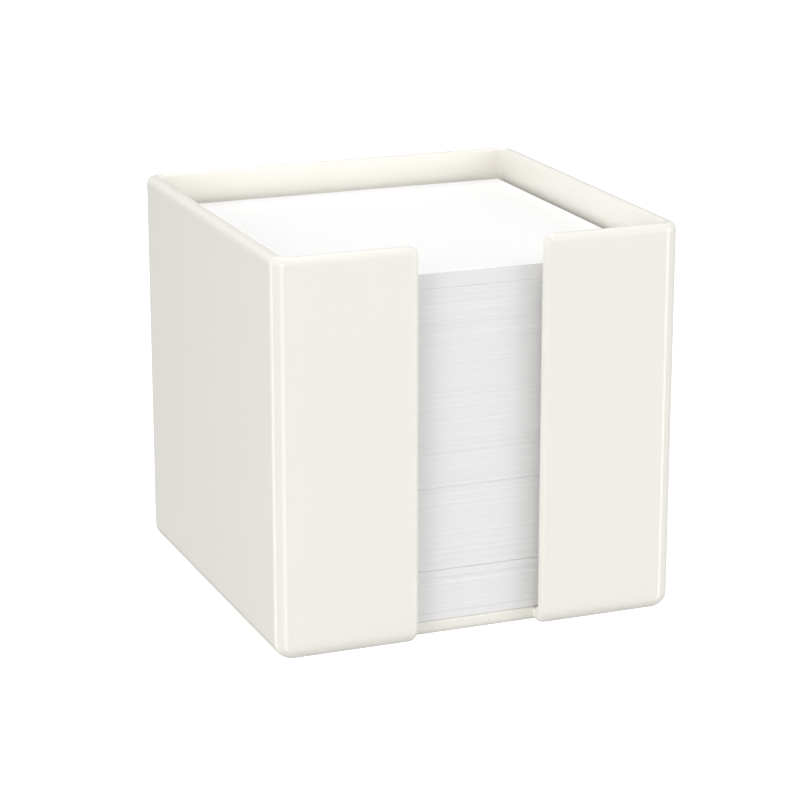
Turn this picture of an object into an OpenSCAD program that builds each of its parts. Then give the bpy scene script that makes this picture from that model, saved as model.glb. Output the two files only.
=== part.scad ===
// Desk box for loose note sheets: an open moulded box with a slot in its front wall, and the stack in it.
// The origin is at the middle of the underside. X runs to the right and the slot faces -Y.

/* [Paper] */
// Width and depth of a note sheet
sheet_w = 90; // [70:1:120]
// Height of the whole stack of sheets
stack_h = 84; // [40:1:86]
// Thickness of the sheets that lie flush together, as one layer of the stack's edge
layer_h = 0.6; // [0.5:0.1:3]
// Furthest that a layer sits out of line with the stack
layer_jog = 0.14; // [0.02:0.02:0.4]
// Height of the dark gap between two reams
gap_h = 0.25; // [0.1:0.05:0.5]
// How far the edge stands back in a gap between two reams
gap_inset = 0.5; // [0.1:0.1:1]

/* [Box] */
// Height of the box from the desk to the rim
box_h = 95; // [92:1:130]
// Thickness of the walls
wall = 3; // [2.9:0.1:4]
// Clear space between the stack and each wall
sheet_gap = 2; // [1:0.1:5]
// Thickness of the floor over the recess in the underside
floor_t = 2.4; // [2:0.1:4]
// Depth of that recess
recess_h = 1; // [0.5:0.1:2]
// Width of the flat ring that the box stands on, between the lip's rounding and that recess
ring_w = 1; // [0.5:0.5:5]
// Corner radius of that recess
recess_r = 3; // [1:0.5:6]

/* [Slot] */
// Width of the slot in the front wall
slot_w = 31; // [20:1:60]
// Radius of the slot's upper corners
slot_corner_r = 2.2; // [2:0.1:6]
// Radius under the floor's front edge, where the slot leaves it bare
lip_r = 1.8; // [1:0.1:2.2]
// Radius over that edge
lip_top_r = 0.5; // [0.2:0.1:0.6]

/* [Rounding] */
// Radius of the rounding round the base
base_r = 4; // [3:0.1:6]
// How much more the outer radius of the upright corners is than that
corner_extra_r = 0.5; // [0.2:0.1:6]
// Outer radius of the rim and of the slot's border
edge_out_r = 1.8; // [0.5:0.1:1.8]
// Inner radius of the rim and of the slot's border
edge_in_r = 1; // [0.2:0.1:1]

/* [Hidden] */
$fn = 64;

// Outer width and depth of the box, and half of it
box_w = sheet_w + 2 * (sheet_gap + wall);
half_w = box_w / 2;
// Outer radius of the upright corners
corner_r = base_r + corner_extra_r;
// Height of the floor's upper face above the desk
floor_z = floor_t + recess_h;
// Radius between that face and the walls, which leaves the stack free and fits in the upright corners
room_r = min(sheet_gap, corner_r - wall) / 2;
// Distance from the outer face to the floor's front edge, which is flush with the stack
lip_at = wall + sheet_gap;
// Distance from the middle to the axis of an upright corner
corner_at = half_w - corner_r;
// Distance from the middle to where the rounded border of the slot starts
border_at = slot_w / 2 + slot_corner_r;
// Depth of the band behind the front face that holds the panels' feet and the floor's lip
front_band = max(corner_r, lip_at + lip_r);
// Distance from the wall's inner face to the crest of its free edge
crest = (wall + edge_in_r - edge_out_r) / 2;
// Distance from the outer face to the recess in the underside
recess_inset = front_band + ring_w;
// Length that a cut or a filling runs on past the face that it meets
lap = 1;
// Height of the walls' feet, in which the rounding round the base ends
foot_h = max(base_r, floor_z) + lap;

// Shares of the stack's height at which one ream ends and the next begins
ream_ends = [0, 0.039, 0.151, 0.327, 0.387, 0.965, 1];
// How far a layer reaches into the one under it, which joins the stack into one solid
bite = 0.03;
jog_seed = 7;

ivory = [0.95, 0.93, 0.89];
paper_white = [0.97, 0.97, 0.97];

// Quarter of a disc, with its centre at the origin
module quarter(r) {
    intersection() {
        circle(r);
        square(2 * r);
    }
}

// Rectangle from the origin, with its far corner round
module one_round(w, h, r) {
    square([w - r, h]);
    square([w, h - r]);
    translate([w - r, h - r])
        quarter(r);
}

// Square about the origin, with four round corners
module round_square(size, r) {
    for (turn = [0 : 90 : 270])
        rotate(turn)
            one_round(size / 2, size / 2, r);
}

// Inner half of the section of the wall's free edge: x runs from the inner face, and y ends at the edge
module edge_inner_half() {
    translate([crest, 0])
        mirror([1, 0])
            one_round(crest, slot_corner_r, edge_in_r);
}

// Section of the wall's free edge: x runs from the inner face to the outer, and y ends at the edge
module edge_section() {
    edge_inner_half();
    translate([crest, 0])
        one_round(wall - crest, slot_corner_r, edge_out_r);
}

// Section from x = 0 to an outer face that is round at the bottom, and which stands at the height 0
module foot_section(reach, h, r) {
    translate([0, h])
        mirror([0, 1])
            one_round(reach, h, r);
}

// Section of the room over the floor, up to a wall whose outer face is at x = reach
module room_section(reach) {
    translate([-lap, floor_z])
        foot_section(lap + reach - wall, foot_h, room_r);
}

// Section of a whole wall, from the floor's root at x = 0 to the outer face at x = reach
module wall_section(reach) {
    difference() {
        foot_section(reach, foot_h, base_r);
        room_section(reach);
    }
    translate([reach - wall, foot_h])
        square([wall, box_h - slot_corner_r - foot_h]);
    translate([reach - wall, box_h - slot_corner_r])
        edge_section();
}

// Straight stretch of a wall, drawn as the front one, between two distances to the right of the middle
module wall_run(from, to, reach) {
    translate([to, reach - half_w, 0])
        rotate([90, 0, -90])
            linear_extrude(to - from)
                wall_section(reach);
}

// The three closed walls and the four upright corners
module closed_walls() {
    for (turn = [90 : 90 : 270])
        rotate(turn)
            wall_run(-corner_at, corner_at, corner_r);
    for (turn = [0 : 90 : 270])
        rotate(turn)
            translate([corner_at, corner_at, 0])
                rotate_extrude(angle = 90)
                    wall_section(corner_r);
}

// Border of the panel along the slot: its edge is round from the foot up, and over the corner to the rim
module slot_border() {
    translate([border_at, wall - half_w, foot_h])
        linear_extrude(box_h - slot_corner_r - foot_h)
            mirror([1, 1])
                edge_section();
    translate([border_at, wall - half_w, box_h - slot_corner_r])
        rotate([90, 0, 0])
            rotate(90)
                rotate_extrude(angle = 90)
                    mirror([1, -1])
                        edge_section();
}

// Foot of that border, whose round edge follows the base edge down and on under the panel
module border_foot() {
    difference() {
        translate([border_at, base_r - half_w, 0]) {
            translate([0, 0, base_r]) {
                linear_extrude(foot_h - base_r)
                    mirror([1, 1])
                        one_round(base_r, slot_corner_r, edge_out_r);
                rotate([0, 90, 180])
                    rotate_extrude(angle = 90)
                        one_round(base_r, slot_corner_r, edge_out_r);
            }
            rotate([90, 0, 180])
                linear_extrude(front_band - base_r)
                    foot_section(slot_corner_r, floor_z, edge_out_r);
        }
        translate([border_at + lap, front_band - half_w, 0])
            rotate([90, 0, -90])
                linear_extrude(slot_corner_r + 2 * lap)
                    room_section(front_band);
        translate([border_at, wall - half_w, floor_z + room_r])
            linear_extrude(foot_h)
                mirror([1, 1])
                    foot_room();
    }
}

// Plan of the room behind that foot, up to the round inner edge
module foot_room() {
    difference() {
        translate([wall - base_r - lap, -lap])
            square([base_r - wall + lap + edge_in_r, slot_corner_r + 2 * lap]);
        edge_inner_half();
    }
}

// Panel beside the slot, on the right
module front_panel() {
    wall_run(border_at, corner_at, front_band);
    slot_border();
    border_foot();
}

// Section of the floor's lip: it ends at a face that is round below and above
module lip_section(reach) {
    intersection() {
        foot_section(reach, floor_z, lip_r);
        one_round(reach, floor_z, lip_top_r);
    }
}

// The floor behind the front band, and its lip, which the slot leaves bare between the panels
module floor_plate() {
    translate([-corner_at, front_band - half_w, 0])
        cube([2 * corner_at, half_w + corner_at - front_band, floor_z]);
    translate([border_at, front_band - half_w, 0])
        rotate([90, 0, -90])
            translate([-lap, 0, 0])
                linear_extrude(2 * border_at)
                    lip_section(front_band - lip_at + lap);
}

module box() {
    color(ivory)
        difference() {
            union() {
                closed_walls();
                front_panel();
                mirror([1, 0, 0])
                    front_panel();
                floor_plate();
            }
            translate([0, 0, -lap])
                linear_extrude(lap + floor_z - floor_t)
                    round_square(box_w - 2 * recess_inset, recess_r);
        }
}

// Square slab of sheets, moved out of line with the stack by jog. It bites a little into what lies under it.
module sheets(z, h, side, jog = [0, 0]) {
    bottom = max(0, z - bite);
    translate([jog.x - side / 2, jog.y - side / 2, bottom])
        cube([side, side, z + h - bottom]);
}

// Layers between two heights, each a little out of line
module ream(from, to, seed) {
    count = max(1, round((to - from) / layer_h));
    step = (to - from) / count;
    jogs = rands(-layer_jog, layer_jog, 2 * count, seed);
    for (i = [0 : count - 1])
        sheets(from + i * step, step, sheet_w, [jogs[2 * i], jogs[2 * i + 1]]);
}

// The reams, with a dark gap under each but the lowest, round a core that stands back by the gap's depth
module paper_stack() {
    color(paper_white)
        translate([0, 0, floor_z]) {
            for (i = [1 : len(ream_ends) - 1])
                ream(stack_h * ream_ends[i - 1] + (i > 1 ? gap_h : 0), stack_h * ream_ends[i], jog_seed + i);
            sheets(0, stack_h - layer_h / 2, sheet_w - 2 * gap_inset);
        }
}

box();
paper_stack();
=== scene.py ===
# Note box: a moulded desk box and the loose sheets in it, dressed for a studio picture
import math
import random

import bpy
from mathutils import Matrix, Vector


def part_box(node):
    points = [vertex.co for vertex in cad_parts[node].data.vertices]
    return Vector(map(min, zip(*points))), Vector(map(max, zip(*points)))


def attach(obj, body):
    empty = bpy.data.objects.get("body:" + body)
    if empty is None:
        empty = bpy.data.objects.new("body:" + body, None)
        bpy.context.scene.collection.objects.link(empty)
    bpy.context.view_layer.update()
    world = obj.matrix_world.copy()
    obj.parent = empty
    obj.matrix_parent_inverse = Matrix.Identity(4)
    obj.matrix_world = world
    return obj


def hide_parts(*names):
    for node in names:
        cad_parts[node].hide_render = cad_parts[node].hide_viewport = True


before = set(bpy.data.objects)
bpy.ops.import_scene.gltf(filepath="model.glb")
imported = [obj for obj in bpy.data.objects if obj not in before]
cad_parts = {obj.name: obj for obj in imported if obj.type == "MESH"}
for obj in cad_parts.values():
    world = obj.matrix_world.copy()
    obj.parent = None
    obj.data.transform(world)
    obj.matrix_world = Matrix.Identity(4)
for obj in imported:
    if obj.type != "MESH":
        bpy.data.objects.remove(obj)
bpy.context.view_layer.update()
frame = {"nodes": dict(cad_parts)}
mm = 0.001
nodes = frame["nodes"]
print("frame loaded:", ", ".join(nodes))


def deselectAll():
    for ob in bpy.context.selected_objects:
        ob.select_set(False)


def makeActive(ob):
    deselectAll()
    ob.select_set(True)
    bpy.context.view_layer.objects.active = ob


# camera, at the photo's height and side
camSettings = {
    "lens": 127.91,
    "sensor": 36.0,
    "distance": 698.97 * mm,
    "aim": Vector((-0.552, 0.0, 44.237)) * mm,
    "azimuth": -21.763,
    "elevation": 16.3256,
}


def toward(azimuth, elevation):
    # unit vector, from angles in degrees: azimuth runs from the front to the right
    turn, rise = math.radians(azimuth), math.radians(elevation)
    level = math.cos(rise)
    return Vector((math.sin(turn) * level, -math.cos(turn) * level, math.sin(rise)))


def addCamera(cfg):
    back = toward(cfg["azimuth"], cfg["elevation"])
    camData = bpy.data.cameras.new("camera")
    camData.lens = cfg["lens"]
    camData.sensor_width = cfg["sensor"]
    cam = bpy.data.objects.new("camera", camData)
    bpy.context.scene.collection.objects.link(cam)
    cam.location = cfg["aim"] + back * cfg["distance"]
    cam.rotation_euler = (-back).to_track_quat("-Z", "Y").to_euler()
    bpy.context.scene.camera = cam


addCamera(camSettings)
print("camera set")


# small helpers for node trees
def link(tree, outSocket, inSocket):
    tree.links.new(outSocket, inSocket)


def addNode(tree, kind, inputs):
    node = tree.nodes.new(kind)
    for name, value in inputs.items():
        node.inputs[name].default_value = value
    return node


def addMath(tree, operation, first, second=None):
    node = tree.nodes.new("ShaderNodeMath")
    node.operation = operation
    for socket, value in zip(node.inputs, (first, second)):
        if isinstance(value, (int, float)):
            socket.default_value = value
        elif value is not None:
            link(tree, value, socket)
    return node.outputs["Value"]


def addRange(tree, value, fromLow=0.0, fromHigh=1.0, toLow=0.0, toHigh=1.0, kind="LINEAR"):
    node = addNode(tree, "ShaderNodeMapRange", {"From Min": fromLow, "From Max": fromHigh,
                                                "To Min": toLow, "To Max": toHigh})
    node.interpolation_type = kind
    link(tree, value, node.inputs["Value"])
    return node.outputs["Result"]


def addRamp(tree, value, low, high, start=0.0, end=1.0):
    return addRange(tree, value, low, high, start, end, "SMOOTHSTEP")


def addMix(tree, factor):
    node = tree.nodes.new("ShaderNodeMix")
    node.data_type = "RGBA"
    link(tree, factor, node.inputs["Factor"])
    return node


# uneven group: a slow drift and a fine grain, both from 0 to 1, for the plastic and the paper
unevenSettings = {
    "Drift": {"scale": 20.0, "detail": 3.0, "roughness": 0.55},
    "Grain": {"scale": 3000.0, "detail": 4.0, "roughness": 0.6},
}


def makeUnevenGroup(cfg):
    group = bpy.data.node_groups.new("uneven", "ShaderNodeTree")
    for name in cfg:
        scale = group.interface.new_socket(name=name + " Scale", in_out="INPUT",
                                           socket_type="NodeSocketFloat")
        scale.default_value = cfg[name]["scale"]
    group.interface.new_socket(name="Vector", in_out="INPUT", socket_type="NodeSocketVector")
    for name in cfg:
        group.interface.new_socket(name=name, in_out="OUTPUT", socket_type="NodeSocketFloat")
    groupIn = group.nodes.new("NodeGroupInput")
    groupOut = group.nodes.new("NodeGroupOutput")
    for name in cfg:
        noise = addNode(group, "ShaderNodeTexNoise", {"Detail": cfg[name]["detail"],
                                                      "Roughness": cfg[name]["roughness"]})
        link(group, groupIn.outputs["Vector"], noise.inputs["Vector"])
        link(group, groupIn.outputs[name + " Scale"], noise.inputs["Scale"])
        link(group, noise.outputs["Fac"], groupOut.inputs[name])
    return group


unevenGroup = makeUnevenGroup(unevenSettings)


def newMaterial(name):
    mat = bpy.data.materials.new(name)
    mat.use_nodes = True
    return mat, mat.node_tree, mat.node_tree.nodes["Principled BSDF"]


def addUneven(tree, coords, cfg):
    uneven = tree.nodes.new("ShaderNodeGroup")
    uneven.node_tree = unevenGroup
    uneven.inputs["Drift Scale"].default_value = cfg["driftScale"]
    uneven.inputs["Grain Scale"].default_value = cfg["grainScale"]
    link(tree, coords.outputs["Object"], uneven.inputs["Vector"])
    return uneven


def roughen(tree, shader, uneven, by, cfg):
    # roughness follows one of the group's values, and the grain stands out a little
    low, high = cfg["roughness"]
    sheen = addRange(tree, uneven.outputs[by], toLow=low, toHigh=high)
    link(tree, sheen, shader.inputs["Roughness"])
    bump = addNode(tree, "ShaderNodeBump", {"Strength": 1.0, "Distance": cfg["grainDepth"]})
    link(tree, uneven.outputs["Grain"], bump.inputs["Height"])
    link(tree, bump.outputs["Normal"], shader.inputs["Normal"])


# satin moulded plastic, warm white
plasticSettings = {
    "light": (0.892, 0.869, 0.812, 1.0),
    "dark": (0.878, 0.855, 0.797, 1.0),
    "roughness": (0.17, 0.23),
    "driftScale": 22.0,
    "grainScale": 2600.0,
    "grainDepth": 0.002 * mm,
    "ior": 1.5,
}


def makePlastic(cfg):
    mat, tree, shader = newMaterial("ivoryPlastic")
    shader.inputs["IOR"].default_value = cfg["ior"]
    uneven = addUneven(tree, tree.nodes.new("ShaderNodeTexCoord"), cfg)
    tint = addMix(tree, uneven.outputs["Drift"])
    tint.inputs["A"].default_value = cfg["dark"]
    tint.inputs["B"].default_value = cfg["light"]
    link(tree, tint.outputs["Result"], shader.inputs["Base Color"])
    roughen(tree, shader, uneven, "Grain", cfg)
    return mat


# uncoated note paper, whose cut edges show fine level streaks and a painted shade that makes
# them darker than the top face
paperSettings = {
    "face": (0.95, 0.95, 0.95, 1.0),
    # the edge colours are darker than the face as painted shade on the upright cut edges; they
    # differ from each other as sheet-to-sheet tone
    "edge": ((0.87, 0.87, 0.872, 1.0), (0.785, 0.785, 0.788, 1.0)),
    "roughness": (0.82, 0.92),
    "specular": 0.3,
    "streakScale": 1500.0,
    "streakNoise": {"Scale": 1.0, "Detail": 5.0, "Roughness": 0.65},
    "streakSpread": (0.3, 0.7),  # noise values that give the two edge colours
    "driftScale": 35.0,
    "grainScale": 1800.0,
    "grainDepth": 0.02 * mm,
}


def makePaper(cfg):
    mat, tree, shader = newMaterial("notePaper")
    shader.inputs["Specular IOR Level"].default_value = cfg["specular"]
    coords = tree.nodes.new("ShaderNodeTexCoord")
    uneven = addUneven(tree, coords, cfg)
    # thin level streaks, for sheets that differ a little from the next, between two edge
    # colours that both hold painted shade
    squash = addNode(tree, "ShaderNodeMapping", {"Scale": (1.0, 1.0, cfg["streakScale"])})
    link(tree, coords.outputs["Object"], squash.inputs["Vector"])
    noise = addNode(tree, "ShaderNodeTexNoise", cfg["streakNoise"])
    link(tree, squash.outputs["Vector"], noise.inputs["Vector"])
    shadedEdgeStreaks = addMix(tree, addRange(tree, noise.outputs["Fac"], *cfg["streakSpread"]))
    shadedEdgeStreaks.inputs["A"].default_value, shadedEdgeStreaks.inputs["B"].default_value = cfg["edge"]
    # they show where the surface stands upright, so on the cut edges only, where the darker
    # edge colours are painted shade
    geometry = tree.nodes.new("ShaderNodeNewGeometry")
    split = tree.nodes.new("ShaderNodeSeparateXYZ")
    link(tree, geometry.outputs["Normal"], split.inputs["Vector"])
    level = addMath(tree, "ABSOLUTE", split.outputs["Z"])
    tint = addMix(tree, addMath(tree, "SUBTRACT", 1.0, level))
    tint.inputs["A"].default_value = cfg["face"]
    link(tree, shadedEdgeStreaks.outputs["Result"], tint.inputs["B"])
    link(tree, tint.outputs["Result"], shader.inputs["Base Color"])
    roughen(tree, shader, uneven, "Drift", cfg)
    return mat


ivoryPlastic = makePlastic(plasticSettings)
notePaper = makePaper(paperSettings)
print("materials made")


# the moulded box is right as it is, so it only gets its finish
boxNode = nodes["box"]
for slotIndex in range(len(boxNode.data.materials)):
    boxNode.data.materials[slotIndex] = ivoryPlastic
print("box finished")


# the stack: one sheet, modelled once, then repeated up the stack and put a little out of line
stackLow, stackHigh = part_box("paper_stack")
stackSettings = {
    "sheet": 90.0 * mm,
    "thick": 0.1 * mm,
    "air": 0.002 * mm,  # how much thinner a sheet is modelled than that
    "cuts": 3,  # points added along each side, for an edge that isn't dead straight
    "ragged": 0.006 * mm,  # furthest that such a point lies off the straight edge
    "reams": (0.0, 0.026, 0.127, 0.15, 0.39, 0.49, 0.958),  # share of the sheets under each
    "reamGap": (0.01, 0.05, 0.065, 0.125, 0.08, 0.05, 0.055),  # open space under each, in mm
    "reamStep": 0.04 * mm,  # furthest that a ream lies out of line with the stack
    "bundle": (6, 12),  # sheets that were taken from the pile together and lie flush
    "bundleGap": (0.0, 0.03),  # open space under each, in mm
    "step": 0.12 * mm,  # furthest that a bundle lies out of line with its ream
    "jitter": 0.008 * mm,  # furthest that a sheet lies out of line with its bundle
    "lowest": 3,  # sheets at the bottom that stand back, which leaves a dark line over the lip
    "pushed": 0.5 * mm,  # how far they stand back
    "seed": 11,
}


def makeSheet(cfg, low):
    deselectAll()
    bpy.ops.mesh.primitive_cube_add(size=1.0, location=(0.0, 0.0, 0.0))
    sheet = bpy.context.active_object
    sheet.name = "sheets"
    sheet.scale = (cfg["sheet"], cfg["sheet"], cfg["thick"] - cfg["air"])
    sheet.location = (0.0, 0.0, low.z + cfg["thick"] / 2)
    bpy.ops.object.transform_apply(location=True, rotation=False, scale=True)
    bpy.ops.object.mode_set(mode="EDIT")
    bpy.ops.mesh.select_mode(type="EDGE")
    bpy.ops.mesh.select_all(action="DESELECT")
    bpy.ops.object.mode_set(mode="OBJECT")
    # the long edges alone are divided
    half = cfg["sheet"] / 2
    for edge in sheet.data.edges:
        a, b = (sheet.data.vertices[i].co for i in edge.vertices)
        edge.select = (a - b).length > half
    bpy.ops.object.mode_set(mode="EDIT")
    bpy.ops.mesh.subdivide(number_cuts=cfg["cuts"])
    bpy.ops.object.mode_set(mode="OBJECT")
    return sheet


def drawPlaces(draw, cfg, count):
    # for each sheet, how far the gaps under it lift it, and how far it is pushed aside
    starts = [int(start * count) for start in cfg["reams"]]
    lifts, shifts = [], []
    lift = 0.0
    left = 0
    for i in range(count):
        if i in starts:
            lift += cfg["reamGap"][starts.index(i)] * mm
            ream = [draw.uniform(-cfg["reamStep"], cfg["reamStep"]) for axis in "xy"]
        if left == 0:
            left = draw.randint(*cfg["bundle"])
            bundle = [draw.uniform(-cfg["step"], cfg["step"]) for axis in "xy"]
            if i > 0:
                lift += draw.uniform(*cfg["bundleGap"]) * mm
        left -= 1
        lifts.append(lift)
        shifts.append([ream[axis] + bundle[axis] + draw.uniform(-cfg["jitter"], cfg["jitter"])
                       for axis in (0, 1)])
    for i in range(cfg["lowest"]):
        shifts[i][1] += cfg["pushed"]
    return lifts, shifts


def stackSheets(sheet, cfg, low, high):
    height = high.z - low.z
    count = int(height / cfg["thick"])
    perSheet = len(sheet.data.vertices)
    makeActive(sheet)
    array = sheet.modifiers.new("stack", "ARRAY")
    array.use_relative_offset = False
    array.use_constant_offset = True
    array.constant_offset_displace = (0.0, 0.0, cfg["thick"])
    array.count = count
    bpy.ops.object.modifier_apply(modifier=array.name)
    draw = random.Random(cfg["seed"])
    lifts, shifts = drawPlaces(draw, cfg, count)
    # the sheets are squeezed a little, so that the gaps have room
    squeeze = (height - lifts[-1]) / (count * cfg["thick"] - cfg["air"])
    for i in range(count):
        for vertex in sheet.data.vertices[i * perSheet:(i + 1) * perSheet]:
            vertex.co.x += shifts[i][0] + draw.uniform(-cfg["ragged"], cfg["ragged"])
            vertex.co.y += shifts[i][1] + draw.uniform(-cfg["ragged"], cfg["ragged"])
            vertex.co.z = low.z + (vertex.co.z - low.z - cfg["air"] / 2) * squeeze + lifts[i]
    return sheet


sheets = stackSheets(makeSheet(stackSettings, stackLow), stackSettings, stackLow, stackHigh)
sheets.data.materials.append(notePaper)
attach(sheets, "root")
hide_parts("paper_stack")
print("sheets stacked:", len(sheets.data.polygons), "faces")


# a pale floor, soft boxes above and at both sides, and a light tent with three upright strips
studio = {
    "floorSize": 8.0,
    "floorColor": (0.34, 0.34, 0.34, 1.0),
    "floorRoughness": 0.9,
    "glowColor": (1.0, 1.0, 1.0, 1.0),
    "floorGlow": (0.33, 0.15),  # near the object and far from it
    "glowReach": (0.1, 0.3),  # distances between which the first turns into the second
    "floorLift": 0.74,  # the camera alone sees the floor this much brighter, as white
    # name, azimuth from the front to the right, elevation, distance, size, power
    "softBoxes": (("overhead", 0.0, 83.0, 1.2, 1.0, 0.78),
                  ("backTop", 180.0, 60.0, 1.2, 0.8, 4.84),
                  ("frontTop", 0.0, 60.0, 1.2, 0.8, 1.93),
                  ("leftSide", -65.0, 18.0, 0.8, 0.4, 1.23),
                  ("leftFront", -50.0, 18.0, 0.8, 0.3, 1.03),
                  ("rightFront", 35.0, 18.0, 0.8, 0.3, 0.25),
                  ("rightSide", 55.0, 18.0, 0.8, 0.4, 1.75)),
    "tent": 0.468,
    "tint": (1.0, 0.995, 0.99, 1.0),
    # azimuth, half width of the core and of the whole strip, in degrees, and brightness
    "strips": ((-54.0, 4.0, 12.0, 3.4), (-127.0, 2.0, 9.0, 4.0), (50.0, 2.5, 7.0, 6.3)),
    # heights, as the Z of a direction, over which the strips fade in and then out again
    "stripLow": (-0.85, -0.7),
    "stripHigh": (0.0, 0.25),
    "backdrop": 1.1,  # brightness past the floor's end, for the camera alone
}


def addFloor(cfg):
    deselectAll()
    bpy.ops.mesh.primitive_plane_add(size=cfg["floorSize"], location=(0.0, 0.0, 0.0))
    floor = bpy.context.active_object
    floor.name = "floor"
    mat, tree, shader = newMaterial("paleFloor")
    shader.inputs["Base Color"].default_value = cfg["floorColor"]
    shader.inputs["Roughness"].default_value = cfg["floorRoughness"]
    shader.inputs["Specular IOR Level"].default_value = 0.0
    shader.inputs["Emission Color"].default_value = cfg["glowColor"]
    coords = tree.nodes.new("ShaderNodeTexCoord")
    away = tree.nodes.new("ShaderNodeVectorMath")
    away.operation = "LENGTH"
    link(tree, coords.outputs["Object"], away.inputs[0])
    glow = addRamp(tree, away.outputs["Value"], *cfg["glowReach"], *cfg["floorGlow"])
    path = tree.nodes.new("ShaderNodeLightPath")
    lift = addMath(tree, "MULTIPLY", path.outputs["Is Camera Ray"], cfg["floorLift"])
    link(tree, addMath(tree, "ADD", glow, lift), shader.inputs["Emission Strength"])
    floor.data.materials.append(mat)
    floor.visible_glossy = False  # the strips of light reach down past the floor


def addSoftBox(name, azimuth, elevation, distance, size, power):
    at = toward(azimuth, elevation) * distance
    light = bpy.data.lights.new(name, "AREA")
    light.shape = "SQUARE"
    light.size = size
    light.energy = power
    lamp = bpy.data.objects.new(name, light)
    bpy.context.scene.collection.objects.link(lamp)
    lamp.location = at
    lamp.rotation_euler = (-at).to_track_quat("-Z", "Y").to_euler()
    lamp.visible_camera = False


def addWorld(cfg):
    world = bpy.data.worlds.new("studio")
    bpy.context.scene.world = world
    world.use_nodes = True
    tree = world.node_tree
    coords = tree.nodes.new("ShaderNodeTexCoord")
    split = tree.nodes.new("ShaderNodeSeparateXYZ")
    link(tree, coords.outputs["Generated"], split.inputs["Vector"])
    toFront = addMath(tree, "MULTIPLY", split.outputs["Y"], -1.0)
    azimuth = addMath(tree, "ARCTAN2", split.outputs["X"], toFront)
    strips = 0.0
    for angle, core, whole, power in cfg["strips"]:
        away = addMath(tree, "SUBTRACT", azimuth, math.radians(angle))
        away = addMath(tree, "ABSOLUTE", away)
        strip = addRamp(tree, away, math.radians(core), math.radians(whole), power, 0.0)
        strips = addMath(tree, "ADD", strip, strips)
    fadeIn = addRamp(tree, split.outputs["Z"], *cfg["stripLow"])
    fadeOut = addRamp(tree, split.outputs["Z"], *cfg["stripHigh"], 1.0, 0.0)
    strips = addMath(tree, "MULTIPLY", strips, fadeIn)
    strips = addMath(tree, "MULTIPLY", strips, fadeOut)
    strength = addMath(tree, "ADD", strips, cfg["tent"])
    path = tree.nodes.new("ShaderNodeLightPath")
    seen = tree.nodes.new("ShaderNodeMix")
    link(tree, path.outputs["Is Camera Ray"], seen.inputs["Factor"])
    link(tree, strength, seen.inputs["A"])
    seen.inputs["B"].default_value = cfg["backdrop"]
    background = tree.nodes["Background"]
    background.inputs["Color"].default_value = cfg["tint"]
    link(tree, seen.outputs["Result"], background.inputs["Strength"])


addFloor(studio)
for softBox in studio["softBoxes"]:
    addSoftBox(*softBox)
addWorld(studio)
bpy.context.scene.view_settings.view_transform = "Standard"
print("studio lit")
